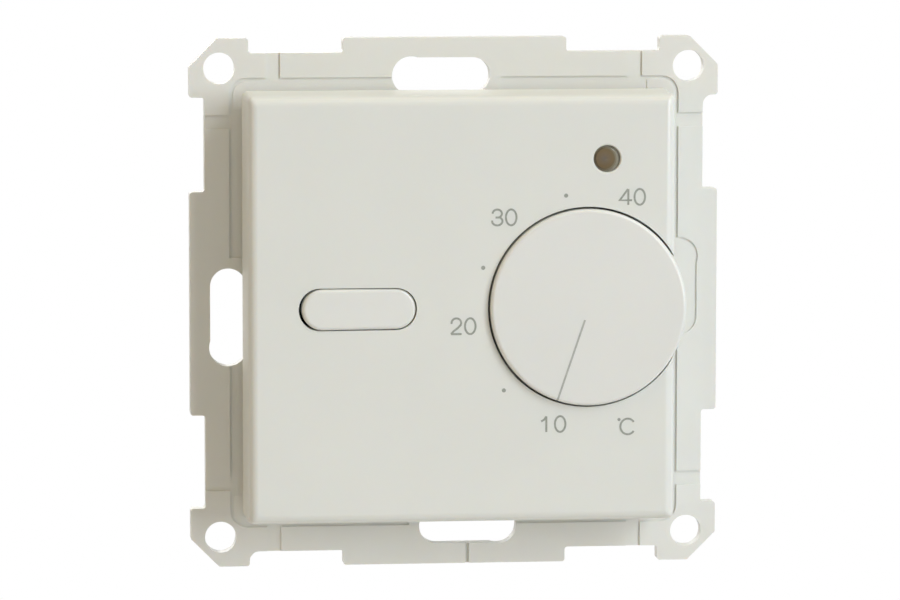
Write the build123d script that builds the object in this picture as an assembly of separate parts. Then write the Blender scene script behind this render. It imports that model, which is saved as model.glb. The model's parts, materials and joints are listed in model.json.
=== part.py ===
from build123d import *
import math
import os

# Flush-mounted room thermostat insert: a square support frame that screws onto a 60 mm
# wall box, an electronics housing behind it, and a front cover with a dial, a rocker
# and a signal lamp.
#
# Sizes are millimetres. The part is drawn with x to the right, y up and z towards the
# person facing the wall, and z = 0 is the wall. save() turns it, so that in the finished
# part +Z is up and the front faces -Y.

# ---- support frame ----
frame_size = 71.0
frame_thickness = 2.2
frame_floor = 1.2
frame_recess = 0.25
tab_half = 15.0
notch_end = 27.6
notch_depth = 2.0
ear_chamfer = 3.8
outline_radius = 0.4
ear_notch_radius = 1.3
step_half = 30.2
step_radius = 2.3
corner_land_inset = 0.55
corner_land_height = 0.1
corner_land_reach = 3.7
corner_land_radius = 1.0
corner_hole_spacing = 63.0
corner_hole_radius = 2.1
channel_place = 24.3
channel_width = 1.9
tab_groove_place = 1.75
tab_groove_width = 0.5
tab_groove_depth = 0.4

# ---- keyhole slots for the box screws ----
slot_spacing = 60.8
slot_width = 4.8
slot_small_centre = 2.35
slot_big_centre = 5.85
slot_big_radius = 2.55
slot_pad_margin = 1.4
slot_pad_land = 0.8
slot_pad_overlap = 1.0
knockout_recess = 0.2
knockout_web = 0.8

# ---- rear housing ----
housing_size = 49.0
housing_cut = 8.0
housing_depth = 26.0
housing_wall = 1.8
housing_edge_radius = 1.0
housing_seat = 0.3
housing_seat_clearance = 0.1
grip_rib = 0.6
grip_rib_width = 1.4
grip_rib_place = 6.0
grip_rib_margin = 3.0
post_inset = 2.7
post_y = 12.0
post_radius = 3.1
post_neck_radius = 2.4
post_web = 2.0
post_bore_depth = 9.0

# ---- circuit board ----
board_ledge = 2.5
board_thickness = 1.6
board_corner = 3.0
board_clearance = 0.2
board_cutout_clearance = 0.15

# ---- inner lid ----
lid_wall = 1.0
lid_height = 4.8
lid_top = 1.3
lid_corner_radius = 1.2
lid_edge_bevel = 0.4
lid_seat_clearance = 0.1
lid_screw_seat = 1.6
lid_boss_radius = 3.0
lid_opening_clearance = 0.3

# ---- front cover ----
cover_size = 57.2
cover_front_size = 56.6
cover_corner_radius = 0.9
cover_edge_radius = 1.3
cover_wall = 1.4
cover_front = 2.0
cover_gap = 2.0
cover_side = 8.5
cover_inner_radius = 0.4
cover_rib_width = 1.2
cover_rib_gap = 0.1
cover_rib_lift = 0.4
cover_rib_places = (-16.0, 16.0)
cover_foot_radius = 1.5
cover_foot_inset = 4.2

# ---- dial ----
controls_y = 0.25
dial_x = 16.7
dial_radius = 13.05
dial_gap = 0.3
dial_proud = 1.0
dial_height = 4.5
dial_top = 1.8
dial_skirt = 1.5
dial_edge_radius = 0.45
dial_lift = 0.4
dial_web = 1.0
dial_web_clearance = 0.5
dial_inner_lift = 0.2
hub_radius = 4.6
cup_wall = 1.2
cup_floor = 1.2
dial_travel = 189.0
dial_lower = 4.0
stop_inset = 1.55
stop_lug_width = 3.4
stop_lug_depth = 2.2
stop_rib_width = 1.4
stop_rib_height = 1.6
stop_clearance = 0.35
pointer_angle = 18.8

# ---- potentiometer ----
pot_radius = 7.5
pot_height = 4.4
pot_floor = 2.0
pot_edge_bevel = 0.4
pot_clearance = 0.3
pot_lug_pitch = 5.0
pot_lug_width = 1.0
pot_lug_reach = 1.5
pot_lug_sheet = 0.6
bush_radius = 3.5
bush_height = 1.4
bush_clearance = 0.5
shaft_radius = 3.0
shaft_flat = 2.2
shaft_seat = 0.5
shaft_float = 0.4
running_gap = 0.05

# ---- rocker and switch ----
rocker_x = -13.9
pill_length = 15.15
pill_width = 5.4
pill_thickness = 2.05
pill_proud = 0.25
pill_end_gap = 0.26
pill_side_gap = 0.12
pill_edge_radius = 0.5
pill_spine_length = 12.0
pill_spine_width = 1.2
rocker_tilt = 3.0
pivot_depth = 3.5
trunnion_radius = 0.7
trunnion_reach = 4.0
trunnion_end_gap = 0.2
rocker_boss_radius = 1.5
rocker_half_width = 2.6
switch_end_gap = 0.1
switch_width = 11.2
switch_wall = 1.0
switch_bottom = -3.0
switch_rim_drop = 0.7
switch_flange = 0.5
switch_flange_height = 0.8
switch_clearance = 0.3
ear_half_width = 2.2
ear_side_gap = 0.4
ear_top_gap = 0.2
ear_drop = 3.2
plunger_radius = 0.95
plunger_clearance = 0.1
plunger_tube_radius = 1.7
plunger_tube_height = 2.1
plunger_gap = 0.12
spring_seat_drop = 1.4
spring_height = 2.8
spring_wire = 0.26
spring_turns = 3
seesaw_length = 11.2
seesaw_width = 3.0
seesaw_thickness = 0.5
seesaw_corner = 1.0
seesaw_tilt = 6.0
seesaw_pin_radius = 0.4
seesaw_pin_length = 1.0
seesaw_fork_gap = 0.4
contact_sheet = 0.5
contact_width = 2.0
fork_height = 1.0
rivet_radius = 0.9
rivet_place = 4.8
rivet_height = 0.4
fixed_rivet_height = 0.15

# ---- signal lamp ----
lamp_x = 19.15
lamp_y = 19.95
lamp_window_radius = 1.8
lamp_window_bevel = 0.15
lamp_radius = 1.5
lamp_dome_radius = 6.0
lamp_recess = 0.05
lamp_rim_radius = 0.12
lamp_shoulder_radius = 1.75
lamp_shoulder_drop = 0.45
lamp_flange_radius = 2.0
lamp_flange_height = 0.8
lamp_clearance = 0.5
lamp_lead_pitch = 1.4
spacer_height = 5.0
spacer_radius = 2.2
spacer_bore = 1.4
lead = 0.5

# ---- components behind the board ----
component_lift = 0.4
component_gap = 0.5
relay_width = 12.7
relay_height = 15.3
relay_post_gap = 2.4
relay_pin_places = ((-12.0, -3.75), (-12.0, 3.75), (3.0, -3.75), (3.0, 3.75), (12.0, -3.75), (12.0, 3.75))
relay_pin_width = 1.0
relay_pin_sheet = 0.6
varistor_radius = 5.0
varistor_thickness = 2.9
varistor_drop = 6.2
varistor_lead_place = 2.5
film_width = 8.0
film_height = 13.0
film_y = -2.0
film_lead_inset = 1.5
can_radius = 4.0
can_bevel = 0.4
can_groove_drop = 1.8
can_groove_height = 0.9
can_groove_depth = 0.3
can_lead_place = 1.75
smoothing_place = (-12.2, -10.6)
smoothing_block_gap = 1.9
coupling_height = 10.0
coupling_y = 0.8
fuse_place = (-3.4, -10.0)
fuse_radius = 4.2
fuse_height = 7.6
fuse_lead_place = 2.5
resistor_count = 4
resistor_pitch = 2.8
resistor_first_x = 3.0
resistor_y = -10.25
resistor_radius = 1.1
resistor_length = 6.5
resistor_drop = 1.4
resistor_lead_reach = 0.7
rectifier_length = 6.5
rectifier_width = 5.6
rectifier_height = 3.0
rectifier_y = 5.6
rectifier_wall_gap = 0.8
chip_place = (-2.0, -16.0)
chip_length = 8.6
chip_width = 3.9
chip_height = 1.45
chip_lift = 0.15
chip_leg_count = 7
chip_leg_pitch = 1.27
chip_leg_width = 0.4
chip_leg_reach = 1.05
chip_leg_sheet = 0.3

# ---- terminals ----
pole_count = 6
pole_pitch = 5.0
terminal_y = -17.9
terminal_block_height = 11.0
terminal_block_front_y = -12.7
terminal_block_end = 0.1
terminal_block_bevel = 0.6
clamp_width = 4.0
clamp_depth = 5.8
clamp_height = 6.6
clamp_sheet = 0.6
clamp_clearance = 0.1
clamp_roof = 2.0
clamp_tail_width = 1.0
clamp_tail_clearance = 0.1
wire_entry = 3.8
terminal_head_radius = 1.6
terminal_head_height = 1.7
terminal_screw_reach = 2.6
driver_slot_width = 0.5
driver_slot_depth = 0.7

# ---- screws ----
screw_radius = 1.2
screw_head_radius = 2.1
screw_head_height = 1.3
screw_head_bevel = 0.4
screw_length = 8.0
screw_clearance = 0.1
cover_screw_place = 10.4
cover_screw_head_radius = 2.0
cover_screw_radius = 1.1
cover_screw_end = 0.6

# ---- levels worked out from the sizes above ----
housing_inner = housing_size / 2 - housing_wall
housing_floor = -housing_depth + housing_wall
recess_floor = frame_thickness - frame_recess
knockout_front = frame_thickness - knockout_recess
post_x = housing_inner - post_inset
board_size = 2 * (housing_inner + board_ledge)
board_back = frame_floor
board_front = board_back + board_thickness
lid_front = frame_floor + lid_height
lid_inner = board_size / 2 + board_clearance
lid_half = lid_inner + lid_wall
cover_back = frame_thickness + cover_gap
cover_face = cover_back + cover_side
cover_inside = cover_face - cover_front
cover_inner_half = cover_size / 2 - cover_wall
dial_face = cover_face + dial_proud
dial_back = dial_face - dial_height
dial_inside = dial_face - dial_top
cup_face = dial_back - dial_lift
cup_back = cup_face - cup_floor
cup_radius = dial_radius + dial_gap
stop_radius = dial_radius - dial_skirt - stop_inset
shaft_tip = dial_inside + shaft_seat
pot_front = board_front + pot_height
cover_screw_x = dial_x - cover_screw_place
pivot_z = cover_face - pivot_depth
spring_top = pivot_z - spring_seat_drop
plunger_top = spring_top - spring_height
plunger_tip = seesaw_thickness / 2 + plunger_gap
tube_mouth = seesaw_thickness + plunger_tube_height
switch_rim = cover_inside - switch_rim_drop
switch_floor = switch_bottom + switch_wall
switch_half_x = housing_inner + rocker_x - switch_end_gap
switch_length = 2 * switch_half_x
switch_half_y = switch_width / 2
component_back = board_back - component_lift
block_top = housing_floor + terminal_block_height
clamp_top = block_top - clamp_roof
clamp_middle = clamp_top - clamp_height / 2


def block(x0, x1, y0, y1, z0, z1):
    """A box given by its six faces, in either order."""
    middle = Pos((x0 + x1) / 2, (y0 + y1) / 2, (z0 + z1) / 2)
    return middle * Box(abs(x1 - x0), abs(y1 - y0), abs(z1 - z0))


def upright(x, y, length, width, z0, z1):
    """A box standing over the point x, y."""
    return block(x - length / 2, x + length / 2, y - width / 2, y + width / 2, z0, z1)


def rod(radius, z0, z1, x=0.0, y=0.0):
    """A round bar along z."""
    return Pos(x, y, (z0 + z1) / 2) * Cylinder(radius, z1 - z0)


def cross_rod(radius, y0, y1, x, z):
    """A round bar along y."""
    return Pos(x, (y0 + y1) / 2, z) * Rot(X=90) * Cylinder(radius, y1 - y0)


def prism(sketch, z0, z1):
    """A flat outline given thickness from z0 to z1."""
    return Pos(0, 0, z0) * extrude(sketch, z1 - z0)


def square(size, radius):
    return RectangleRounded(size, size, radius)


def cut_square(size, cut, inset=0.0):
    """A square with its corners cut off, every side moved in by inset."""
    half = size / 2 - inset
    leg = cut - inset * (2 - math.sqrt(2))
    return chamfer(Rectangle(2 * half, 2 * half).vertices(), leg)


def quarter_turns():
    return [Rot(Z=90 * turn) for turn in range(4)]


def tilted(shape, angle, x, z):
    """Turns a shape about a line along y."""
    return Pos(x, controls_y, z) * Rot(Y=angle) * Pos(-x, -controls_y, -z) * shape


def group(shapes):
    """Several separate solids kept together as one node."""
    return Compound([solid for shape in shapes for solid in shape.solids()])


def save(name, shape):
    turned = Rot(X=90) * shape
    turned.label = name
    export_step(turned, f"parts/{name}.step")


# ---- support frame ----

def frame_outline():
    outline = chamfer(Rectangle(frame_size, frame_size).vertices(), ear_chamfer)
    notch = Rectangle(notch_end - tab_half, 2 * notch_depth)
    for turn in quarter_turns():
        for side in (-1, 1):
            place = Pos(side * (tab_half + notch_end) / 2, frame_size / 2)
            outline -= turn * place * notch
    edge = frame_size / 2 - notch_depth
    reliefs = ((-notch_end, -edge, 0), (edge, notch_end, 0))
    wide = ShapeList(outline.vertices().sort_by_distance(place)[0] for place in reliefs)
    outline = fillet(outline.vertices() - wide, outline_radius)
    for place in reliefs:
        corner = outline.vertices().sort_by_distance(place)[0]
        outline = fillet(corner, ear_notch_radius)
    return outline


def keyhole():
    """One slot at the top of the frame: small round end at +x, large one at -x."""
    length = slot_small_centre + slot_big_centre
    slot = Pos(slot_small_centre - length / 2) * Rectangle(length, slot_width)
    slot += Pos(slot_small_centre) * Circle(slot_width / 2)
    slot += Pos(-slot_big_centre) * Circle(slot_big_radius)
    return Pos(0, slot_spacing / 2) * slot


def slot_pad():
    """The raised land round a slot, from its large end to just past its small end."""
    x0 = -slot_big_centre - slot_big_radius / 2
    x1 = slot_small_centre + slot_width / 2 + slot_pad_margin
    y0 = slot_spacing / 2 - slot_big_radius - slot_pad_land
    y1 = step_half + slot_pad_overlap
    return Pos((x0 + x1) / 2, (y0 + y1) / 2) * Rectangle(x1 - x0, y1 - y0)


def corner_land():
    """A low land that follows the inner corner of the step, under the cover's corner."""
    outer = step_half - corner_land_inset
    land = square(2 * outer, step_radius - corner_land_inset)
    patch = Pos(outer, outer) * square(2 * corner_land_reach, corner_land_radius)
    return prism(land & patch, recess_floor, recess_floor + corner_land_height)


def support_frame():
    """The plate, with three open slots and a thin web left in the fourth."""
    plate = prism(frame_outline(), 0, frame_thickness)
    pocket = square(2 * step_half, step_radius)
    for turn in quarter_turns():
        pocket -= turn * slot_pad()
        for side in (-1, 1):
            place = Pos(side * channel_place, step_half)
            pocket += turn * place * Rectangle(channel_width, frame_size - 2 * step_half)
    plate -= prism(pocket, recess_floor, frame_thickness)
    lid_seat = square(2 * (lid_half + lid_seat_clearance), lid_corner_radius)
    plate -= prism(lid_seat, frame_floor, frame_thickness)
    plate -= prism(cut_square(housing_size, housing_cut, housing_wall), 0, frame_thickness)
    plate -= prism(cut_square(housing_size, housing_cut, -housing_seat_clearance), 0, housing_seat)
    for turn in quarter_turns():
        plate += turn * corner_land()
        plate -= turn * prism(keyhole(), 0, frame_thickness)
        plate -= turn * rod(corner_hole_radius, 0, frame_thickness,
                            corner_hole_spacing / 2, corner_hole_spacing / 2)
    right_side = quarter_turns()[-1]
    plate += right_side * prism(keyhole(), knockout_front - knockout_web, knockout_front)
    groove = upright(tab_groove_place, 0, tab_groove_width, frame_size,
                     frame_thickness - tab_groove_depth, frame_thickness)
    below_slot = block(-frame_size, frame_size, -frame_size, -slot_spacing / 2, 0, frame_thickness)
    return plate - (groove & below_slot)


# ---- rear housing ----

def post_places():
    return [(x, y) for x in (-post_x, post_x) for y in (-post_y, post_y)]


def pole_places():
    first = -(pole_count - 1) * pole_pitch / 2
    return [first + pole_pitch * pole for pole in range(pole_count)]


def rear_housing():
    shell = prism(cut_square(housing_size, housing_cut), -housing_depth, housing_seat)
    shell = fillet(shell.faces().sort_by(Axis.Z)[0].edges(), housing_edge_radius)
    shell -= prism(cut_square(housing_size, housing_cut, housing_wall), housing_floor, housing_seat)
    for x, y in post_places():
        post = rod(post_radius, housing_floor, 0, x, y)
        post += block(x, math.copysign(housing_inner, x), y - post_web / 2, y + post_web / 2,
                      housing_floor, 0)
        post += rod(post_neck_radius, 0, frame_floor, x, y)
        shell += post
        shell -= rod(screw_radius, -post_bore_depth, frame_floor, x, y)
    for side in (-1, 1):
        wall = side * housing_size / 2
        for y in (-grip_rib_place, grip_rib_place):
            shell += block(wall, wall + side * grip_rib, y - grip_rib_width / 2, y + grip_rib_width / 2,
                           -housing_depth + grip_rib_margin, -grip_rib_margin)
    for x in pole_places():
        shell -= upright(x, terminal_y, wire_entry, wire_entry, -housing_depth, housing_floor)
        shell -= cross_rod(terminal_head_radius + screw_clearance, -housing_size / 2, -housing_inner,
                           x, clamp_middle)
    return shell


# ---- terminals ----

def terminal_block():
    half = pole_count * pole_pitch / 2 + terminal_block_end
    body = block(-half, half, -housing_inner, terminal_block_front_y, housing_floor, block_top)
    body = chamfer(body.edges().filter_by(Axis.X).group_by(Axis.Z)[-1], terminal_block_bevel)
    for x in pole_places():
        body -= upright(x, terminal_y, clamp_width + 2 * clamp_clearance,
                        clamp_depth + 2 * clamp_clearance, housing_floor, clamp_top)
        body -= upright(x, terminal_y, clamp_tail_width + 2 * clamp_tail_clearance,
                        clamp_sheet + 2 * clamp_tail_clearance, clamp_top, block_top)
        body -= cross_rod(terminal_head_radius + screw_clearance, -housing_inner, terminal_y,
                          x, clamp_middle)
    return body


def terminal_clamp(x):
    """A cage open towards the wire, with a tail that is soldered to the board."""
    cage = upright(x, terminal_y, clamp_width, clamp_depth, clamp_top - clamp_height, clamp_top)
    cage -= upright(x, terminal_y, clamp_width - 2 * clamp_sheet, clamp_depth - 2 * clamp_sheet,
                    clamp_top - clamp_height, clamp_top - clamp_sheet)
    cage -= cross_rod(screw_radius, terminal_y - clamp_depth / 2, terminal_y, x, clamp_middle)
    return cage + upright(x, terminal_y, clamp_tail_width, clamp_sheet, clamp_top, board_back)


def terminal_screw(x):
    head_front = terminal_y - clamp_depth / 2
    head_back = head_front - terminal_head_height
    screw = cross_rod(terminal_head_radius, head_back, head_front, x, clamp_middle)
    screw += cross_rod(screw_radius, head_front, head_front + terminal_screw_reach, x, clamp_middle)
    slot = block(x - terminal_head_radius, x + terminal_head_radius,
                 head_back, head_back + driver_slot_depth,
                 clamp_middle - driver_slot_width / 2, clamp_middle + driver_slot_width / 2)
    return screw - slot


# ---- circuit board and what it carries ----

def circuit_board():
    board = prism(cut_square(board_size, board_corner), board_back, board_front)
    for x, y in post_places():
        board -= rod(screw_radius + board_cutout_clearance, board_back, board_front, x, y)
    return board - upright(rocker_x, controls_y, switch_length + 2 * board_cutout_clearance,
                           switch_width + 2 * board_cutout_clearance, board_back, board_front)


def component_leads(places, x, y):
    """Square pins from a component's body up to the board."""
    return [upright(x + dx, y + dy, lead, lead, component_back, board_back) for dx, dy in places]


def varistor_y():
    return housing_inner - component_lift - varistor_thickness / 2


def relay():
    """A sealed relay between the upper posts, just below the varistor."""
    length = 2 * (post_x - post_radius - relay_post_gap)
    y = varistor_y() - varistor_thickness / 2 - component_lift - relay_width / 2
    body = upright(0, y, length, relay_width, component_back - relay_height, component_back)
    body = chamfer(body.edges().filter_by(Axis.Z), component_gap)
    for dx, dy in relay_pin_places:
        body += upright(dx, y + dy, relay_pin_width, relay_pin_sheet, component_back, board_back)
    return body


def coupling_x():
    """The smaller can stands just right of the switch."""
    return rocker_x + switch_half_x + switch_flange + can_radius + 2 * component_gap


def film_capacitor():
    """A boxed film capacitor that fills the space from the smaller can to the right wall."""
    x0 = coupling_x() + can_radius + component_gap
    x1 = housing_inner - component_gap
    body = block(x0, x1, film_y - film_width / 2, film_y + film_width / 2,
                 component_back - film_height, component_back)
    body = chamfer(body.edges().filter_by(Axis.Z), component_gap)
    for x in (x0 + film_lead_inset, x1 - film_lead_inset):
        body += upright(x, film_y, lead, lead, component_back, board_back)
    return body


def electrolytic_capacitor(x, y, height):
    """A can with a crimped groove near its leads."""
    can = rod(can_radius, component_back - height, component_back, x, y)
    can = chamfer(can.edges().sort_by(Axis.Z)[0], can_bevel)
    groove_top = component_back - can_groove_drop
    ring = rod(can_radius, groove_top - can_groove_height, groove_top, x, y)
    can -= ring - rod(can_radius - can_groove_depth, groove_top - can_groove_height, groove_top, x, y)
    for pin in component_leads([(-can_lead_place, 0), (can_lead_place, 0)], x, y):
        can += pin
    return can


def smoothing_capacitor():
    """As tall as fits above the terminal block."""
    return electrolytic_capacitor(*smoothing_place, component_back - block_top - smoothing_block_gap)


def coupling_capacitor():
    return electrolytic_capacitor(coupling_x(), coupling_y, coupling_height)


def axial_resistor(x):
    """A small resistor lying close to the board on its two bent leads."""
    z = board_back - resistor_drop
    y0 = resistor_y - resistor_length / 2
    y1 = resistor_y + resistor_length / 2
    body = cross_rod(resistor_radius, y0, y1, x, z)
    for end, reach in ((y0, -resistor_lead_reach), (y1, resistor_lead_reach)):
        body += block(x - lead / 2, x + lead / 2, end, end + reach, z - lead / 2, z + lead / 2)
        tip = end + reach
        body += block(x - lead / 2, x + lead / 2, tip, tip - math.copysign(lead, reach),
                      z - lead / 2, board_back)
    return body


def board_fuse():
    x, y = fuse_place
    body = rod(fuse_radius, component_back - fuse_height, component_back, x, y)
    body = chamfer(body.edges().sort_by(Axis.Z)[0], can_bevel)
    for pin in component_leads([(-fuse_lead_place, 0), (fuse_lead_place, 0)], x, y):
        body += pin
    return body


def varistor():
    """A lacquered disc standing on two leads against the top wall."""
    z = board_back - varistor_drop
    y0 = varistor_y() - varistor_thickness / 2
    disc = cross_rod(varistor_radius, y0, y0 + varistor_thickness, 0, z)
    disc = chamfer(disc.edges().filter_by(GeomType.CIRCLE), varistor_thickness / 4)
    for x in (-varistor_lead_place, varistor_lead_place):
        disc += upright(x, varistor_y(), lead, lead, z, board_back)
    return disc


def bridge_rectifier():
    x = housing_inner - rectifier_wall_gap - rectifier_length / 2
    body = upright(x, rectifier_y, rectifier_length, rectifier_width,
                   component_back - rectifier_height, component_back)
    body = chamfer(body.faces().sort_by(Axis.Z)[0].edges(), can_bevel)
    dx = rectifier_length / 2 - 2 * lead
    dy = rectifier_width / 2 - lead
    for pin in component_leads([(-dx, -dy), (-dx, dy), (dx, -dy), (dx, dy)], x, rectifier_y):
        body += pin
    return body


def control_chip():
    """A flat package with a row of gull-wing legs down each long side."""
    x, y = chip_place
    chip = upright(x, y, chip_length, chip_width, board_front + chip_lift,
                   board_front + chip_lift + chip_height)
    chip = chamfer(chip.faces().sort_by(Axis.Z)[-1].edges(), chip_lift)
    span = chip_width + 2 * chip_leg_reach
    for leg in range(chip_leg_count):
        leg_x = x + (leg - (chip_leg_count - 1) / 2) * chip_leg_pitch
        chip += upright(leg_x, y, chip_leg_width, span, board_front, board_front + chip_leg_sheet)
    return chip


# ---- inner lid ----

def inner_lid():
    lid = prism(square(2 * lid_half, lid_corner_radius), frame_floor, lid_front)
    lid = chamfer(lid.faces().sort_by(Axis.Z)[-1].edges(), lid_edge_bevel)
    lid -= prism(Rectangle(2 * lid_inner, 2 * lid_inner), frame_floor, lid_front - lid_top)
    seat = board_front + lid_screw_seat
    for x, y in post_places():
        lid += rod(lid_boss_radius, board_front, lid_front, x, y)
        lid -= rod(screw_radius + screw_clearance, board_front, lid_front, x, y)
        lid -= rod(screw_head_radius + 2 * screw_clearance, seat, lid_front, x, y)
    lid += rod(cover_screw_head_radius, board_front, cup_back, cover_screw_x, controls_y)
    lid -= rod(cover_screw_radius, board_front, cup_back, cover_screw_x, controls_y)
    lid -= rod(pot_radius + pot_clearance, lid_front - lid_top, lid_front, dial_x, controls_y)
    lid -= rod(lamp_flange_radius + lamp_clearance, board_front, lid_front, lamp_x, lamp_y)
    return lid - upright(rocker_x, controls_y, switch_length + 2 * lid_opening_clearance,
                         switch_width + 2 * lid_opening_clearance, lid_front - lid_top, lid_front)


def cross_slot(x, y, z, length):
    """The two crossing cuts of a cross-head screw, sunk from the level z."""
    cuts = [upright(x, y, length, driver_slot_width, z - driver_slot_depth, z),
            upright(x, y, driver_slot_width, length, z - driver_slot_depth, z)]
    return cuts[0] + cuts[1]


def lid_screw(x, y):
    """A pan-head screw from the lid down into its post."""
    seat = board_front + lid_screw_seat
    top = seat + screw_head_height
    screw = rod(screw_head_radius, seat, top, x, y)
    screw = chamfer(screw.edges().sort_by(Axis.Z)[-1], screw_head_bevel)
    screw += rod(screw_radius, -screw_length, seat, x, y)
    return screw - cross_slot(x, y, top, 2 * screw_radius)


# ---- front cover ----

def cover_body():
    """The outer form: a square block with slightly drafted sides and a soft front edge."""
    draft = math.degrees(math.atan((cover_size - cover_front_size) / 2 / cover_side))
    outline = square(cover_size, cover_corner_radius)
    body = Pos(0, 0, cover_back) * extrude(outline, cover_side, taper=draft)
    return fillet(body.faces().sort_by(Axis.Z)[-1].edges(), cover_edge_radius)


def lug_direction():
    """Where the dial's lug stands at rest: opposite the pointer line."""
    return 90 - pointer_angle


def stop_rib():
    """The arc on the cup floor that the dial's lug runs against at both ends of its turn."""
    lug_half = math.degrees((stop_lug_width / 2 + stop_clearance) / (stop_radius - stop_rib_width / 2))
    free_start = lug_direction() - (dial_travel - dial_lower) - lug_half
    free_sweep = dial_travel + 2 * lug_half
    ring = Circle(stop_radius + stop_rib_width / 2) - Circle(stop_radius - stop_rib_width / 2)
    reach = 3 * stop_radius
    wedge_steps = 8
    points = [(0, 0)]
    for step in range(wedge_steps + 1):
        angle = math.radians(free_start + free_sweep * step / wedge_steps)
        points.append((reach * math.cos(angle), reach * math.sin(angle)))
    ring -= Polygon(*points, align=None)
    return Pos(dial_x, controls_y) * prism(ring, cup_face, cup_face + stop_rib_height)


def front_cover():
    outer = cover_body()
    cover = outer - prism(square(2 * cover_inner_half, cover_inner_radius), cover_back, cover_inside)
    cup = rod(cup_radius + cup_wall, cup_back, cover_inside, dial_x, controls_y)
    cover += cup & outer
    rib_foot = lid_half + cover_rib_gap
    foot_place = cover_inner_half - cover_foot_inset
    for turn in quarter_turns():
        for place in cover_rib_places:
            cover += turn * block(place - cover_rib_width / 2, place + cover_rib_width / 2,
                                  rib_foot, cover_inner_half, cover_back + cover_rib_lift, cover_inside)
        cover += turn * rod(cover_foot_radius, lid_front, cover_inside, foot_place, foot_place)
    cover -= rod(cup_radius, cup_face, cover_face, dial_x, controls_y)
    cover -= rod(bush_radius + bush_clearance, cup_back, cup_face, dial_x, controls_y)
    screw_access = rod(cover_screw_head_radius + screw_clearance, cup_face, cover_face,
                       cover_screw_x, controls_y)
    cover += stop_rib() - screw_access
    cover -= cover_screw_form()
    window = SlotOverall(pill_length + 2 * pill_end_gap, pill_width + 2 * pill_side_gap)
    cover -= Pos(rocker_x, controls_y) * prism(window, cover_inside, cover_face)
    cover -= Pos(lamp_x, lamp_y, cover_face - lamp_window_bevel / 2) * Cone(
        lamp_window_radius, lamp_window_radius + lamp_window_bevel, lamp_window_bevel)
    return cover - rod(lamp_window_radius, cover_inside, cover_face, lamp_x, lamp_y)


def cover_screw_form():
    """The countersunk screw under the dial, also used to cut its seat."""
    head = Pos(cover_screw_x, controls_y, (cup_back + cup_face) / 2) * Cone(
        cover_screw_radius, cover_screw_head_radius, cup_floor)
    return head + rod(cover_screw_radius, board_front + cover_screw_end, cup_back,
                      cover_screw_x, controls_y)


def cover_screw():
    slot = cross_slot(cover_screw_x, controls_y, cup_face, 2 * cover_screw_radius)
    return cover_screw_form() - slot


# ---- dial ----

def dial_knob():
    knob = rod(dial_radius, dial_back, dial_face)
    knob = fillet(knob.edges().sort_by(Axis.Z)[-1], dial_edge_radius)
    inner = dial_radius - dial_skirt
    low = dial_back + dial_inner_lift
    knob -= rod(inner, dial_back, dial_inside)
    knob += rod(hub_radius, low, dial_inside)
    web_back = cup_face + stop_rib_height + dial_web_clearance
    for turn in (0, 60, 120):
        knob += Rot(Z=turn) * upright(0, 0, 2 * inner, dial_web, web_back, dial_inside)
    lug = upright(stop_radius, 0, stop_lug_depth, stop_lug_width, low, dial_inside)
    knob += Rot(Z=lug_direction()) * lug
    knob -= shaft_end()
    return Pos(dial_x, controls_y) * knob


def shaft_end():
    """The flatted end of the shaft, also used to cut the hub's bore."""
    flat = block(shaft_flat, 2 * shaft_radius, -shaft_radius, shaft_radius, dial_back, shaft_tip)
    return rod(shaft_radius, dial_back, shaft_tip) - flat


def potentiometer_shaft():
    shaft = rod(shaft_radius, board_front + pot_floor + shaft_float, dial_back) + shaft_end()
    return Pos(dial_x, controls_y) * shaft


def potentiometer_body():
    """A round carbon-track control with a bush for its shaft and three solder lugs."""
    body = rod(pot_radius, board_front, pot_front)
    body = chamfer(body.edges().sort_by(Axis.Z)[-1], pot_edge_bevel)
    body += rod(bush_radius, pot_front, pot_front + bush_height)
    body -= rod(shaft_radius + running_gap, board_front + pot_floor, pot_front + bush_height)
    for lug in (-1, 0, 1):
        x = lug * pot_lug_pitch
        body += block(x - pot_lug_width / 2, x + pot_lug_width / 2, -pot_radius - pot_lug_reach,
                      -pot_radius / 2, board_front, board_front + pot_lug_sheet)
    return Pos(dial_x, controls_y) * body


# ---- rocker and its switch ----

def rest_rocker(shape):
    return tilted(Pos(rocker_x, controls_y) * shape, rocker_tilt, rocker_x, pivot_z)


def rocker_button():
    """The pill-shaped button, its pivot boss and the tube that carries the plunger."""
    top = cover_face + pill_proud
    under = top - pill_thickness
    cap = prism(SlotOverall(pill_length, pill_width), under, top)
    cap = fillet(cap.faces().sort_by(Axis.Z)[-1].edges(), pill_edge_radius)
    cap += upright(0, 0, pill_spine_length, pill_spine_width, pivot_z + trunnion_radius, under)
    cap += upright(0, 0, 2 * rocker_boss_radius, 2 * rocker_half_width, pivot_z, under)
    cap += cross_rod(rocker_boss_radius, -rocker_half_width, rocker_half_width, 0, pivot_z)
    cap += cross_rod(trunnion_radius, -trunnion_reach, trunnion_reach, 0, pivot_z)
    cap += rod(plunger_tube_radius, tube_mouth, pivot_z)
    cap -= rod(plunger_radius + plunger_clearance, tube_mouth, spring_top)
    return rest_rocker(cap)


def switch_plunger():
    """A round-nosed pin that presses on the see-saw."""
    nose = plunger_tip + plunger_radius
    pin = rod(plunger_radius, nose, plunger_top)
    return rest_rocker(pin + Pos(0, 0, nose) * Sphere(plunger_radius))


def switch_spring():
    """A small coil of square wire between the plunger and the top of its tube."""
    height = spring_top - plunger_top - spring_wire
    path = Helix(pitch=height / spring_turns, height=height, radius=plunger_radius - spring_wire)
    start = Plane(path @ 0, x_dir=(1, 0, 0), z_dir=path % 0)
    coil = sweep(start * Rectangle(spring_wire, spring_wire), path, is_frenet=True)
    return rest_rocker(Pos(0, 0, plunger_top + spring_wire / 2) * coil)


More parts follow.
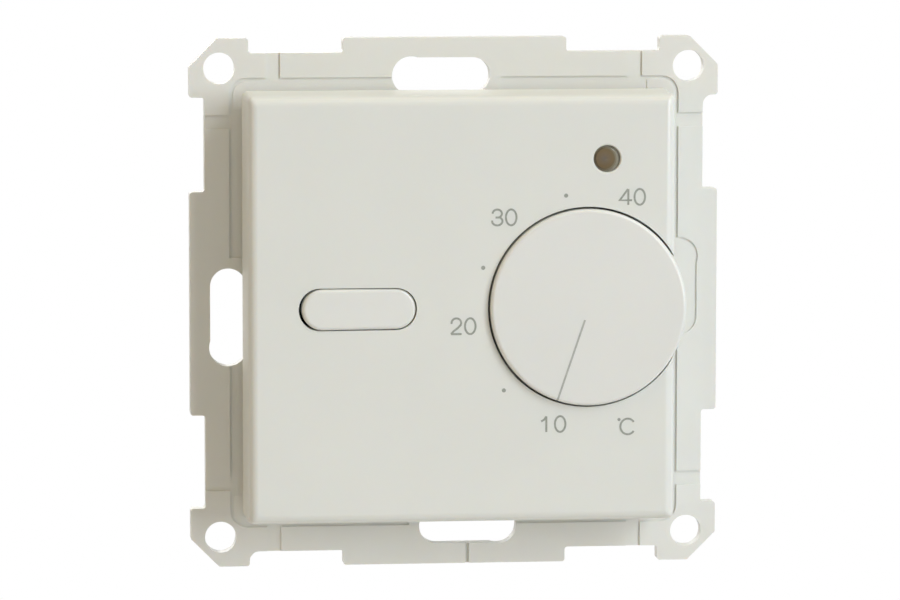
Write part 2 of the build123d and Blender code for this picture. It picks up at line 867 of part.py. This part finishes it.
def switch_housing():
    """An open box that hangs in the board on a flange and carries both pivots."""
    box = upright(0, 0, switch_length, switch_width, switch_bottom, switch_rim)
    box += upright(0, 0, switch_length + 2 * switch_flange, switch_width + 2 * switch_flange,
                   board_front, board_front + switch_flange_height)
    box -= upright(0, 0, switch_length - 2 * switch_wall, switch_width - 2 * switch_wall,
                   switch_floor, switch_rim)
    for side in (-1, 1):
        inner = side * (rocker_half_width + ear_side_gap)
        box += block(-ear_half_width, ear_half_width, inner, side * switch_half_y,
                     pivot_z - ear_drop, cover_inside - ear_top_gap)
        box -= cross_rod_between(trunnion_radius + running_gap, inner,
                                 side * (trunnion_reach + trunnion_end_gap), pivot_z)
    strip_top = switch_floor + contact_sheet
    box -= block(-contact_width / 2, contact_width / 2, -switch_half_y, 0, switch_floor, strip_top)
    box -= block(0, switch_half_x, -contact_width / 2, contact_width / 2, switch_floor, strip_top)
    return Pos(rocker_x, controls_y) * box


def cross_rod_between(radius, y0, y1, z):
    """A bar along y at x = 0 between two places given in either order."""
    return cross_rod(radius, min(y0, y1), max(y0, y1), 0, z)


def switch_terminals():
    """The forked strip that carries the see-saw, and the fixed contact under its right end."""
    half = contact_width / 2
    strip_top = switch_floor + contact_sheet
    ear_inner = seesaw_width / 2 + seesaw_fork_gap
    ear_outer = ear_inner + contact_sheet
    back = -switch_half_y - contact_sheet
    fork = block(-half, half, back, ear_outer, switch_floor, strip_top)
    fork += block(-half, half, back, -switch_half_y, switch_floor, board_back)
    for side in (-1, 1):
        fork += block(-half, half, side * ear_inner, side * ear_outer, switch_floor, fork_height)
        fork -= cross_rod_between(seesaw_pin_radius + running_gap, side * ear_inner,
                                  side * ear_outer, 0)
    end = switch_half_x + contact_sheet
    contact = block(rivet_place - half, end, -half, half, switch_floor, strip_top)
    contact += block(switch_half_x, end, -half, half, switch_floor, board_back)
    contact += rod(rivet_radius, strip_top, strip_top + fixed_rivet_height, rivet_place, 0)
    return Pos(rocker_x, controls_y) * group([fork, contact])


def contact_arm():
    """The see-saw strip with its pivot pins and a contact rivet at the closing end."""
    half = seesaw_thickness / 2
    arm = upright(0, 0, seesaw_length, seesaw_width, -half, half)
    arm = chamfer(arm.edges().filter_by(Axis.Z), seesaw_corner)
    for side in (-1, 1):
        edge = side * seesaw_width / 2
        arm += cross_rod_between(seesaw_pin_radius, edge, edge + side * seesaw_pin_length, 0)
    arm += rod(rivet_radius, -half - rivet_height, -half, rivet_place, 0)
    return tilted(Pos(rocker_x, controls_y) * arm, -seesaw_tilt, rocker_x, 0)


# ---- signal lamp ----

def signal_lamp():
    """A low-domed lamp that stands on a wider shoulder, with a flange at its foot."""
    dome_top = cover_face - lamp_recess
    shoulder = cover_face - lamp_shoulder_drop
    flange = board_front + spacer_height
    lamp = rod(lamp_radius, shoulder, dome_top, lamp_x, lamp_y)
    lamp &= Pos(lamp_x, lamp_y, dome_top - lamp_dome_radius) * Sphere(lamp_dome_radius)
    side = lamp.faces().filter_by(GeomType.CYLINDER)[0]
    lamp = fillet(side.edges().filter_by(GeomType.CIRCLE).sort_by(Axis.Z)[-1], lamp_rim_radius)
    lamp += rod(lamp_shoulder_radius, flange, shoulder, lamp_x, lamp_y)
    return lamp + rod(lamp_flange_radius, flange, flange + lamp_flange_height, lamp_x, lamp_y)


def lamp_spacer():
    spacer = rod(spacer_radius, board_front, board_front + spacer_height, lamp_x, lamp_y)
    return spacer - rod(spacer_bore, board_front, board_front + spacer_height, lamp_x, lamp_y)


def lamp_leads():
    return group(upright(lamp_x + side * lamp_lead_pitch / 2, lamp_y, lead, lead,
                         board_front, board_front + spacer_height) for side in (-1, 1))


def main():
    os.makedirs("parts", exist_ok=True)
    save("support_frame", support_frame())
    save("rear_housing", rear_housing())
    save("inner_lid", inner_lid())
    save("front_cover", front_cover())
    save("dial_knob", dial_knob())
    save("rocker_button", rocker_button())
    save("signal_lamp", signal_lamp())
    save("lamp_spacer", lamp_spacer())
    save("lamp_leads", lamp_leads())
    save("circuit_board", circuit_board())
    save("potentiometer_body", potentiometer_body())
    save("potentiometer_shaft", potentiometer_shaft())
    save("switch_housing", switch_housing())
    save("switch_terminals", switch_terminals())
    save("contact_arm", contact_arm())
    save("switch_plunger", switch_plunger())
    save("switch_spring", switch_spring())
    save("relay", relay())
    save("film_capacitor", film_capacitor())
    save("smoothing_capacitor", smoothing_capacitor())
    save("coupling_capacitor", coupling_capacitor())
    save("resistors", group(axial_resistor(resistor_first_x + resistor_pitch * place)
                            for place in range(resistor_count)))
    save("board_fuse", board_fuse())
    save("varistor", varistor())
    save("bridge_rectifier", bridge_rectifier())
    save("control_chip", control_chip())
    save("terminal_block", terminal_block())
    save("terminal_clamps", group(terminal_clamp(x) for x in pole_places()))
    save("terminal_screws", group(terminal_screw(x) for x in pole_places()))
    save("lid_screws", group(lid_screw(x, y) for x, y in post_places()))
    save("cover_screw", cover_screw())


main()
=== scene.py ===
"""The looks of a flush-mounted room thermostat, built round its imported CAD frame."""
import json
import math

import bmesh
import bpy
from mathutils import Matrix, Vector


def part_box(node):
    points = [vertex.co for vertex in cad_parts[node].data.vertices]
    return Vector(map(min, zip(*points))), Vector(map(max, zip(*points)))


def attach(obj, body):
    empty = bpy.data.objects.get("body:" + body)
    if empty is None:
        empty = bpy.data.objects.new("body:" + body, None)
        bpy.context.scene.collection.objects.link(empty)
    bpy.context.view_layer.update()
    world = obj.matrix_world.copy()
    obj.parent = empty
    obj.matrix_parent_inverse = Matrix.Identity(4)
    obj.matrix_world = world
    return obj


MM = 0.001

# ---- camera ----
VIEW_AZIMUTH = -6.0
VIEW_ELEVATION = 6.4
VIEW_ROLL = 0.06
VIEW_DISTANCE = 700 * MM
VIEW_TARGET = Vector((-0.37, 0, -0.04)) * MM
VIEW_LENS = 208.1
SENSOR_WIDTH = 36.0
CLIP_START = 10 * MM

# ---- surroundings ----
# each light's place and size in metres, its power and its colour
LIGHTS = {"key_light": ((0.841, -0.902, 0.498), (0.5, 1.3), 14.5, (0.904, 0.939, 1.0)),
          "top_light": ((0.0, -0.116, 1.325), (2.4, 1.6), 11.1, (1.0, 0.921, 0.72)),
          "fill_light": ((-1.127, -0.65, 0.277), (0.8, 0.8), 2.95, (1.0, 0.742, 0.457)),
          "back_light": ((-0.35, 1.15, 0.45), (1.0, 1.0), 5.0, (1.0, 1.0, 1.0))}
DOME_COLOR = (0.10, 0.10, 0.10, 1)
BACKGROUND_COLOR = (1, 1, 1, 1)
FLOOR_RADIUS = 900 * MM
FLOOR_DROP = 250 * MM
FLOOR_SIDES = 96

# ---- printed scale ----
# each mark's angle in degrees clockwise from straight down, and its distance from the dial's axis
NUMBERS = {"10": (16.5, 16.25 * MM), "20": (81.9, 16.8 * MM),
           "30": (137.0, 16.45 * MM), "40": (202.0, 15.75 * MM)}
DOTS = ((45.6, 15.7 * MM), (111.0, 15.0 * MM), (168.6, 15.15 * MM))
UNIT = (-18.5, 16.9 * MM)
DOT_RADIUS = 0.275 * MM
DOT_SIDES = 24
DEGREE_RADIUS = 0.21 * MM
DEGREE_SHIFT = Vector((-1.17, 0.95)) * MM
GLYPH_HEIGHT = 2.28 * MM
GLYPH_PITCH = 1.85 * MM
GLYPH_STROKE = 0.265 * MM
INK_THICKNESS = 0.012 * MM
STROKE_STEP = 0.002 * MM
# the cosine of half a bend past which a ribbon's corner grows no wider
SHARPEST_BEND = 0.5

# ---- pointer line on the dial ----
# degrees clockwise from straight down, and the turns at which it is bent over the dial's edge
POINTER_ANGLE = 18.8
EDGE_TURNS = range(10, 80, 10)
POINTER_START = 1.7 * MM
POINTER_WIDTH = 0.25 * MM
DIAL_EDGE_RADIUS = 0.45 * MM

# ---- plastics and metals ----
# patches and grain are counted per metre, and most noise lies between the two drift limits
DRIFT_LIMITS = (0.35, 0.65)
PLASTIC_IOR = 1.5
SHADE_PATCHES = 60
GLOSS_PATCHES = 400
GLOSS_SPREAD = 0.15
SUBSURFACE_WEIGHT = 0.35
SUBSURFACE_RADIUS = (1.0, 0.75, 0.5)
SUBSURFACE_DEPTH = 0.6 * MM
TARNISH_SHADE = 0.8
TARNISH_PATCHES = 500
METAL_GLOSS_PATCHES = 1500
METAL_GLOSS_SPREAD = 0.3
METAL_GRAIN = 4000
METAL_GRAIN_DEPTH = 0.004 * MM
# a normal's y is -1 on a front and 0 on a side, and roughness is added between these limits
FRONT_NORMAL = -0.9
SIDE_NORMAL = -0.3

# ---- lamp ----
# how far the middle of the painted light rings lies off the lamp's axis, which puts their lit
# crescent on one side, and the distance that counts as 1.0 below
PAINTED_GLINT_OFFSET = Vector((-0.33, 0, 0)) * MM
LENS_REACH = 1.8 * MM
# the resin's own brown tint in the middle; further out, the thin pale ring and the pale outer rings
# are painted highlights where the lens edge and the wall round it catch light, and the dark ring
# between is painted shade in the gap
LENS_TINT_AND_PAINTED_GLINTS = ((0.0, (0.165, 0.135, 0.095)),
              (0.3, (0.19, 0.138, 0.072)),
              (0.6, (0.195, 0.13, 0.05)),
              (0.76, (0.17, 0.13, 0.06)),
              (0.81, (0.29, 0.25, 0.15)),
              (0.85, (0.16, 0.135, 0.075)),
              (0.91, (0.36, 0.335, 0.23)),
              (0.95, (0.27, 0.25, 0.17)),
              (1.0, (0.42, 0.40, 0.31)))
LENS_CLOUDS = 900
LENS_CLOUDING = 0.02
LENS_IOR = 1.52
LENS_TRANSMISSION = 0.25


# ---- materials ----

def new_material(name):
    material = bpy.data.materials.new(name)
    material.use_nodes = True
    tree = material.node_tree
    return material, tree, tree.nodes["Principled BSDF"]


def object_coordinates(tree, kind="Object"):
    """Coordinates fixed to the object, so a pattern stays on its surface as it moves."""
    return tree.nodes.new("ShaderNodeTexCoord").outputs[kind]


def object_noise(tree, scale, detail=2.0):
    noise = tree.nodes.new("ShaderNodeTexNoise")
    noise.inputs["Scale"].default_value = scale
    noise.inputs["Detail"].default_value = detail
    noise.inputs["Roughness"].default_value = 0.5
    tree.links.new(object_coordinates(tree), noise.inputs["Vector"])
    return noise.outputs["Fac"]


def rescale(tree, value, low, high, start=0.0, end=1.0):
    """A value from start to end, mapped onto low to high."""
    spread = tree.nodes.new("ShaderNodeMapRange")
    spread.inputs["From Min"].default_value = start
    spread.inputs["From Max"].default_value = end
    spread.inputs["To Min"].default_value = low
    spread.inputs["To Max"].default_value = high
    tree.links.new(value, spread.inputs["Value"])
    return spread.outputs["Result"]


def combine(tree, operation, first, second):
    node = tree.nodes.new("ShaderNodeMath")
    node.operation = operation
    tree.links.new(first, node.inputs[0])
    tree.links.new(second, node.inputs[1])
    return node.outputs["Value"]


def transform(tree, operation, vector, other):
    """A vector combined with a fixed one."""
    node = tree.nodes.new("ShaderNodeVectorMath")
    node.operation = operation
    node.inputs[1].default_value = other
    tree.links.new(vector, node.inputs[0])
    return node.outputs["Vector"]


def length(tree, vector):
    node = tree.nodes.new("ShaderNodeVectorMath")
    node.operation = "LENGTH"
    tree.links.new(vector, node.inputs[0])
    return node.outputs["Value"]


def color_by(tree, shader, value, stops):
    """Base colour from a value by a ramp of (position, colour), in rising order."""
    ramp = tree.nodes.new("ShaderNodeValToRGB")
    elements = ramp.color_ramp.elements
    elements.remove(elements[1])
    for index, (position, color) in enumerate(stops):
        element = elements.new(position) if index else elements[0]
        element.position = position
        element.color = (*color, 1)
    tree.links.new(value, ramp.inputs["Fac"])
    tree.links.new(ramp.outputs["Color"], shader.inputs["Base Color"])


def vary_color(tree, shader, low, high, scale):
    """Base colour that drifts between two near shades."""
    color_by(tree, shader, object_noise(tree, scale), tuple(zip(DRIFT_LIMITS, (low, high))))


def vary_roughness(tree, shader, low, high, scale):
    roughness = rescale(tree, object_noise(tree, scale, 3.0), low, high)
    tree.links.new(roughness, shader.inputs["Roughness"])


def vary_gloss(tree, shader, roughness, spread, scale):
    """Roughness that drifts by a share of itself to either side."""
    vary_roughness(tree, shader, roughness * (1 - spread), roughness * (1 + spread), scale)


def roughen_sides(material, extra):
    """Adds roughness where a moulding turns away from its polished front."""
    tree = material.node_tree
    roughness = tree.nodes["Principled BSDF"].inputs["Roughness"]
    split = tree.nodes.new("ShaderNodeSeparateXYZ")
    tree.links.new(object_coordinates(tree, "Normal"), split.inputs["Vector"])
    turned = rescale(tree, split.outputs["Y"], 0.0, extra, FRONT_NORMAL, SIDE_NORMAL)
    polished = roughness.links[0].from_socket
    tree.links.new(combine(tree, "ADD", turned, polished), roughness)
    return material


def add_bump(tree, shader, scale, depth):
    """Fine surface relief, depth in metres."""
    bump = tree.nodes.new("ShaderNodeBump")
    bump.inputs["Strength"].default_value = 1.0
    bump.inputs["Distance"].default_value = depth
    tree.links.new(object_noise(tree, scale), bump.inputs["Height"])
    tree.links.new(bump.outputs["Normal"], shader.inputs["Normal"])


def shade(color, factor):
    return tuple(channel * factor for channel in color)


def plastic(name, color, roughness, grain_scale, grain_depth, drift=0.985):
    """Moulded plastic: a slight drift of shade, uneven gloss and a fine surface grain."""
    material, tree, shader = new_material(name)
    vary_color(tree, shader, shade(color, drift), color, SHADE_PATCHES)
    vary_gloss(tree, shader, roughness, GLOSS_SPREAD, GLOSS_PATCHES)
    add_bump(tree, shader, grain_scale, grain_depth)
    shader.inputs["IOR"].default_value = PLASTIC_IOR
    return material


def white_plastic(name, color, roughness, grain_scale, grain_depth):
    """White moulding that lets a little light in, so its gaps and thin edges glow warm."""
    material = plastic(name, color, roughness, grain_scale, grain_depth)
    shader = material.node_tree.nodes["Principled BSDF"]
    shader.inputs["Subsurface Weight"].default_value = SUBSURFACE_WEIGHT
    shader.inputs["Subsurface Radius"].default_value = SUBSURFACE_RADIUS
    shader.inputs["Subsurface Scale"].default_value = SUBSURFACE_DEPTH
    return material


def metal(name, color, roughness):
    """Plated or rolled metal with a faint tarnish."""
    material, tree, shader = new_material(name)
    vary_color(tree, shader, shade(color, TARNISH_SHADE), color, TARNISH_PATCHES)
    vary_gloss(tree, shader, roughness, METAL_GLOSS_SPREAD, METAL_GLOSS_PATCHES)
    add_bump(tree, shader, METAL_GRAIN, METAL_GRAIN_DEPTH)
    shader.inputs["Metallic"].default_value = 1.0
    return material


def epoxy_with_painted_glints():
    """The lamp's tinted resin, slightly cloudy, with painted light: pale rings and a paler rim as
    painted highlights and a dark ring as painted shade, centred off its axis.
    """
    material, tree, shader = new_material("epoxy_with_painted_glints")
    low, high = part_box("signal_lamp")
    # the middle of the painted highlight and shade rings, shifted off the lamp's axis
    middle = (low + high) / 2 + PAINTED_GLINT_OFFSET
    offset = transform(tree, "SUBTRACT", object_coordinates(tree), middle)
    reach = length(tree, transform(tree, "MULTIPLY", offset, (1, 0, 1)))
    share = rescale(tree, reach, 0.0, 1.0, 0.0, LENS_REACH)
    clouds = rescale(tree, object_noise(tree, LENS_CLOUDS), -LENS_CLOUDING, LENS_CLOUDING)
    # the distance from that middle picks the resin's tint, the painted highlights and the painted
    # shade ring
    color_by(tree, shader, combine(tree, "ADD", share, clouds), LENS_TINT_AND_PAINTED_GLINTS)
    vary_roughness(tree, shader, 0.08, 0.16, 2000)
    shader.inputs["Transmission Weight"].default_value = LENS_TRANSMISSION
    shader.inputs["IOR"].default_value = LENS_IOR
    return material


def solder_mask():
    """Green lacquer over copper tracks."""
    material, tree, shader = new_material("solder_mask")
    tracks = tree.nodes.new("ShaderNodeTexBrick")
    tracks.inputs["Scale"].default_value = 220
    tracks.inputs["Color1"].default_value = (0.012, 0.10, 0.035, 1)
    tracks.inputs["Color2"].default_value = (0.016, 0.13, 0.045, 1)
    tracks.inputs["Mortar"].default_value = (0.03, 0.20, 0.08, 1)
    tree.links.new(object_coordinates(tree), tracks.inputs["Vector"])
    tree.links.new(tracks.outputs["Color"], shader.inputs["Base Color"])
    vary_roughness(tree, shader, 0.25, 0.4, 900)
    return material


def printed_ink(name, low, high):
    material, tree, shader = new_material(name)
    vary_color(tree, shader, low, high, 2500)
    vary_roughness(tree, shader, 0.45, 0.6, 3000)
    return material


def make_materials():
    """One material for each finish in the record, by its slot name."""
    return {
        "frame_white": white_plastic(
            "frame_plastic", (0.80, 0.805, 0.755), 0.34, 2500, 0.006 * MM),
        "cover_white": roughen_sides(
            white_plastic("cover_plastic", (0.785, 0.80, 0.75), 0.16, 900, 0.0012 * MM), 0.35),
        "dial_white": roughen_sides(
            white_plastic("dial_plastic", (0.79, 0.80, 0.76), 0.30, 2500, 0.004 * MM), 0.3),
        "button_white": roughen_sides(
            white_plastic("button_plastic", (0.79, 0.80, 0.755), 0.22, 2000, 0.002 * MM), 0.35),
        "housing_white": white_plastic(
            "housing_plastic", (0.74, 0.74, 0.70), 0.48, 1800, 0.012 * MM),
        "lid_white": white_plastic("lid_plastic", (0.76, 0.76, 0.72), 0.45, 1800, 0.010 * MM),
        "lamp_clear": epoxy_with_painted_glints(),
        "spacer_black": plastic("spacer_plastic", (0.02, 0.02, 0.02), 0.5, 2000, 0.006 * MM, 0.7),
        "board_green": solder_mask(),
        "pot_black": plastic("pot_plastic", (0.025, 0.025, 0.025), 0.45, 2000, 0.008 * MM, 0.7),
        "shaft_grey": plastic("shaft_plastic", (0.62, 0.62, 0.58), 0.35, 1500, 0.004 * MM),
        "switch_black": plastic("switch_plastic", (0.03, 0.03, 0.03), 0.5, 2000, 0.01 * MM, 0.7),
        "contact_brass": metal("contact_metal", (0.72, 0.50, 0.22), 0.3),
        "steel": metal("plated_steel", (0.60, 0.60, 0.58), 0.28),
        "relay_black": plastic("relay_plastic", (0.025, 0.025, 0.03), 0.4, 1500, 0.006 * MM, 0.7),
        "film_yellow": plastic("film_box", (0.62, 0.42, 0.05), 0.35, 1500, 0.006 * MM, 0.9),
        "can_sleeve": plastic("can_sleeve", (0.015, 0.02, 0.06), 0.25, 1500, 0.004 * MM, 0.8),
        "resistor_blue": plastic(
            "resistor_lacquer", (0.10, 0.26, 0.36), 0.35, 1500, 0.01 * MM, 0.85),
        "fuse_brown": plastic("fuse_case", (0.08, 0.03, 0.02), 0.4, 1500, 0.006 * MM, 0.8),
        "varistor_blue": plastic(
            "varistor_lacquer", (0.02, 0.06, 0.22), 0.3, 1200, 0.02 * MM, 0.85),
        "chip_black": plastic("chip_package", (0.015, 0.015, 0.015), 0.55, 2500, 0.008 * MM, 0.7),
        "terminal_grey": plastic("terminal_block", (0.18, 0.19, 0.19), 0.45, 1800, 0.01 * MM, 0.9),
    }


def finish_nodes(frame, materials):
    """Gives every CAD node the material of its slot."""
    for part in frame["record"]["subparts"]:
        mesh = frame["nodes"][part["node"]].data
        mesh.materials.clear()
        mesh.materials.append(materials[part["material_slot"]])


# ---- printed scale: thin ribbons of ink laid on the face ----

def arc(center, radii, start, end, steps):
    """Points along part of an ellipse, angles in degrees from +x towards +z."""
    points = []
    for step in range(steps + 1):
        angle = math.radians(start + (end - start) * step / steps)
        points.append(Vector((center[0] + radii[0] * math.cos(angle),
                              center[1] + radii[1] * math.sin(angle))))
    return points


def line(*points):
    return [Vector(point) for point in points]


def glyph_strokes(character):
    """The centre lines of a character about one unit high, round its middle: (points, closed)."""
    if character == "0":
        return [(arc((0, 0), (0.307, 0.46), 0, 360, 40)[:-1], True)]
    if character == "1":
        return [(line((-0.30, 0.17), (-0.12, 0.27), (0.0, 0.46)), False),
                (line((0.0, 0.46), (0.0, -0.46)), False)]
    if character == "2":
        top = arc((0.0, 0.19), (0.28, 0.27), 190, -25, 24)
        return [(top + line((0.09, -0.10), (-0.14, -0.27), (-0.31, -0.455)), False),
                (line((-0.31, -0.455), (0.31, -0.455)), False)]
    if character == "3":
        upper = arc((0.0, 0.225), (0.27, 0.235), 180, -75, 24)
        lower = arc((0.0, -0.215), (0.30, 0.245), 70, -190, 24)
        return [(upper + line((-0.10, 0.0)), False), (lower, False)]
    if character == "4":
        return [(line((0.12, 0.46), (-0.36, -0.19), (0.36, -0.19)), False),
                (line((0.14, 0.46), (0.14, -0.46)), False)]
    if character == "C":
        return [(arc((0, 0), (0.43, 0.46), 35, 325, 36), False)]
    raise ValueError(character)


def ribbon(mesh, points, closed, width, thickness, place):
    """Adds a flat ribbon along points of a face; place gives a face point's spot at a height."""
    count = len(points)
    rails = []
    for index, point in enumerate(points):
        before = points[index - 1] if index or closed else point
        after = points[(index + 1) % count] if index < count - 1 or closed else point
        tangent = (after - before).normalized()
        normal = Vector((-tangent.y, tangent.x))
        leg = (point - before).normalized() if before != point else tangent
        stretch = 1 / max(SHARPEST_BEND, abs(leg.dot(tangent)))
        offset = normal * (width / 2 * stretch)
        rails.append([mesh.verts.new(place(point + side * offset, height))
                      for side, height in ((1, 0), (1, thickness), (-1, thickness), (-1, 0))])
    for index in range(count if closed else count - 1):
        near, far = rails[index], rails[(index + 1) % count]
        for corner in range(4):
            following = (corner + 1) % 4
            mesh.faces.new((near[corner], near[following], far[following], far[corner]))
    if not closed:
        mesh.faces.new(rails[0][::-1])
        mesh.faces.new(rails[-1])


def disc(mesh, center, radius, place):
    bottom = []
    top = []
    for side in range(DOT_SIDES):
        angle = 2 * math.pi * side / DOT_SIDES
        point = center + Vector((math.cos(angle), math.sin(angle))) * radius
        bottom.append(mesh.verts.new(place(point, 0)))
        top.append(mesh.verts.new(place(point, INK_THICKNESS)))
    mesh.faces.new(bottom)
    mesh.faces.new(top)
    for side in range(DOT_SIDES):
        following = (side + 1) % DOT_SIDES
        mesh.faces.new((bottom[side], bottom[following], top[following], top[side]))


def face_placer(center, front_y):
    """Maps a point on a face, measured from its middle, to the row frame."""
    def place(point, height):
        return Vector((center.x + point.x, front_y - height, center.z + point.y))
    return place


def around(angle, radius):
    """A point at an angle clockwise from straight down."""
    turn = math.radians(angle)
    return Vector((-math.sin(turn), -math.cos(turn))) * radius


def write(mesh, text, middle, place):
    """Writes characters in a row about a middle; the strokes of each stand at their own heights."""
    for index, character in enumerate(text):
        shift = Vector(((index - (len(text) - 1) / 2) * GLYPH_PITCH, 0))
        for order, (points, closed) in enumerate(glyph_strokes(character)):
            laid = [middle + shift + point * GLYPH_HEIGHT for point in points]
            thickness = INK_THICKNESS + order * STROKE_STEP
            ribbon(mesh, laid, closed, GLYPH_STROKE, thickness, place)


def mesh_object(name, mesh, material):
    bmesh.ops.recalc_face_normals(mesh, faces=mesh.faces)
    data = bpy.data.meshes.new(name)
    mesh.to_mesh(data)
    mesh.free()
    data.materials.append(material)
    piece = bpy.data.objects.new(name, data)
    bpy.context.scene.collection.objects.link(piece)
    return piece


def dial_center():
    low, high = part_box("dial_knob")
    return (low + high) / 2


def add_printed_scale(ink):
    mesh = bmesh.new()
    place = face_placer(dial_center(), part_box("front_cover")[0].y)
    for text, spot in NUMBERS.items():
        write(mesh, text, around(*spot), place)
    for spot in DOTS:
        disc(mesh, around(*spot), DOT_RADIUS, place)
    unit = around(*UNIT)
    write(mesh, "C", unit, place)
    disc(mesh, unit + DEGREE_SHIFT, DEGREE_RADIUS, place)
    piece = mesh_object("printed_scale", mesh, ink)
    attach(piece, "thermostat")


def add_pointer_line(ink):
    """A fine line from near the dial's middle, out and over its rounded edge."""
    mesh = bmesh.new()
    low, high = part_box("dial_knob")
    on_front = face_placer(dial_center(), low.y)
    flat_reach = (high.x - low.x) / 2 - DIAL_EDGE_RADIUS

    def place(point, height):
        past = max(0.0, point.length - flat_reach)
        drop = DIAL_EDGE_RADIUS - math.sqrt(max(0.0, DIAL_EDGE_RADIUS ** 2 - past ** 2))
        return on_front(point, height - drop)

    reaches = [POINTER_START, flat_reach]
    for turn in EDGE_TURNS:
        reaches.append(flat_reach + DIAL_EDGE_RADIUS * math.sin(math.radians(turn)))
    points = [around(POINTER_ANGLE, reach) for reach in reaches]
    ribbon(mesh, points, False, POINTER_WIDTH, INK_THICKNESS, place)
    piece = mesh_object("pointer_line", mesh, ink)
    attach(piece, "dial")


# ---- studio ----

def add_camera():
    azimuth = math.radians(VIEW_AZIMUTH)
    elevation = math.radians(VIEW_ELEVATION)
    back = Vector((math.sin(azimuth) * math.cos(elevation),
                   -math.cos(azimuth) * math.cos(elevation),
                   math.sin(elevation)))
    data = bpy.data.cameras.new("camera")
    data.lens = VIEW_LENS
    data.sensor_width = SENSOR_WIDTH
    data.clip_start = CLIP_START
    camera = bpy.data.objects.new("camera", data)
    bpy.context.scene.collection.objects.link(camera)
    turn = back.to_track_quat("Z", "Y").to_matrix().to_4x4()
    roll = Matrix.Rotation(math.radians(VIEW_ROLL), 4, "Z")
    camera.matrix_world = Matrix.Translation(VIEW_TARGET + back * VIEW_DISTANCE) @ turn @ roll
    bpy.context.scene.camera = camera


def add_lights():
    """Soft boxes that face the object, two strong ones and two weak ones."""
    for name, (place, (width, height), power, color) in LIGHTS.items():
        data = bpy.data.lights.new(name, "AREA")
        data.shape = "RECTANGLE"
        data.size = width
        data.size_y = height
        data.energy = power
        data.color = color
        light = bpy.data.objects.new(name, data)
        light.location = place
        light.rotation_euler = Vector(place).to_track_quat("Z", "Y").to_euler()
        bpy.context.scene.collection.objects.link(light)


def add_world():
    """White where the camera and reflections look, a soft grey dome for everything else."""
    world = bpy.data.worlds.new("studio")
    world.use_nodes = True
    tree = world.node_tree
    rays = tree.nodes.new("ShaderNodeLightPath").outputs
    seen = combine(tree, "MAXIMUM", rays["Is Camera Ray"], rays["Is Glossy Ray"])
    seen = combine(tree, "MAXIMUM", seen, rays["Is Transmission Ray"])
    mix = tree.nodes.new("ShaderNodeMix")
    mix.data_type = "RGBA"
    mix.inputs["A"].default_value = DOME_COLOR
    mix.inputs["B"].default_value = BACKGROUND_COLOR
    tree.links.new(seen, mix.inputs["Factor"])
    tree.links.new(mix.outputs["Result"], tree.nodes["Background"].inputs["Color"])
    bpy.context.scene.world = world


def add_floor():
    """A round pale floor well below the part, which hangs on a wall in use."""
    mesh = bmesh.new()
    bmesh.ops.create_circle(mesh, cap_ends=True, segments=FLOOR_SIDES, radius=FLOOR_RADIUS)
    material, tree, shader = new_material("floor_paint")
    vary_color(tree, shader, (0.78, 0.78, 0.78), (0.82, 0.82, 0.82), 6)
    vary_roughness(tree, shader, 0.7, 0.8, 20)
    floor = mesh_object("floor", mesh, material)
    floor.location.z = -FLOOR_DROP


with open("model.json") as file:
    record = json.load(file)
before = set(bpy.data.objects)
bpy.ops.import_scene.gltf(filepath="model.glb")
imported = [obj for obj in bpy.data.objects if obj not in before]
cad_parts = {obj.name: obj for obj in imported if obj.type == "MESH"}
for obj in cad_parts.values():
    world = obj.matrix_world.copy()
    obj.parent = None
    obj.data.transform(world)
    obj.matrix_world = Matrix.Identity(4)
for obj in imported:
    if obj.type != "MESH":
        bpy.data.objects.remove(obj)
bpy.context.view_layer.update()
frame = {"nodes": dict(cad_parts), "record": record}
finish_nodes(frame, make_materials())
add_printed_scale(printed_ink("scale_ink", (0.295, 0.315, 0.27), (0.35, 0.37, 0.325)))
add_pointer_line(printed_ink("pointer_ink", (0.40, 0.41, 0.375), (0.46, 0.47, 0.43)))
add_floor()
add_world()
add_lights()
add_camera()
bpy.context.scene.view_settings.view_transform = "Standard"
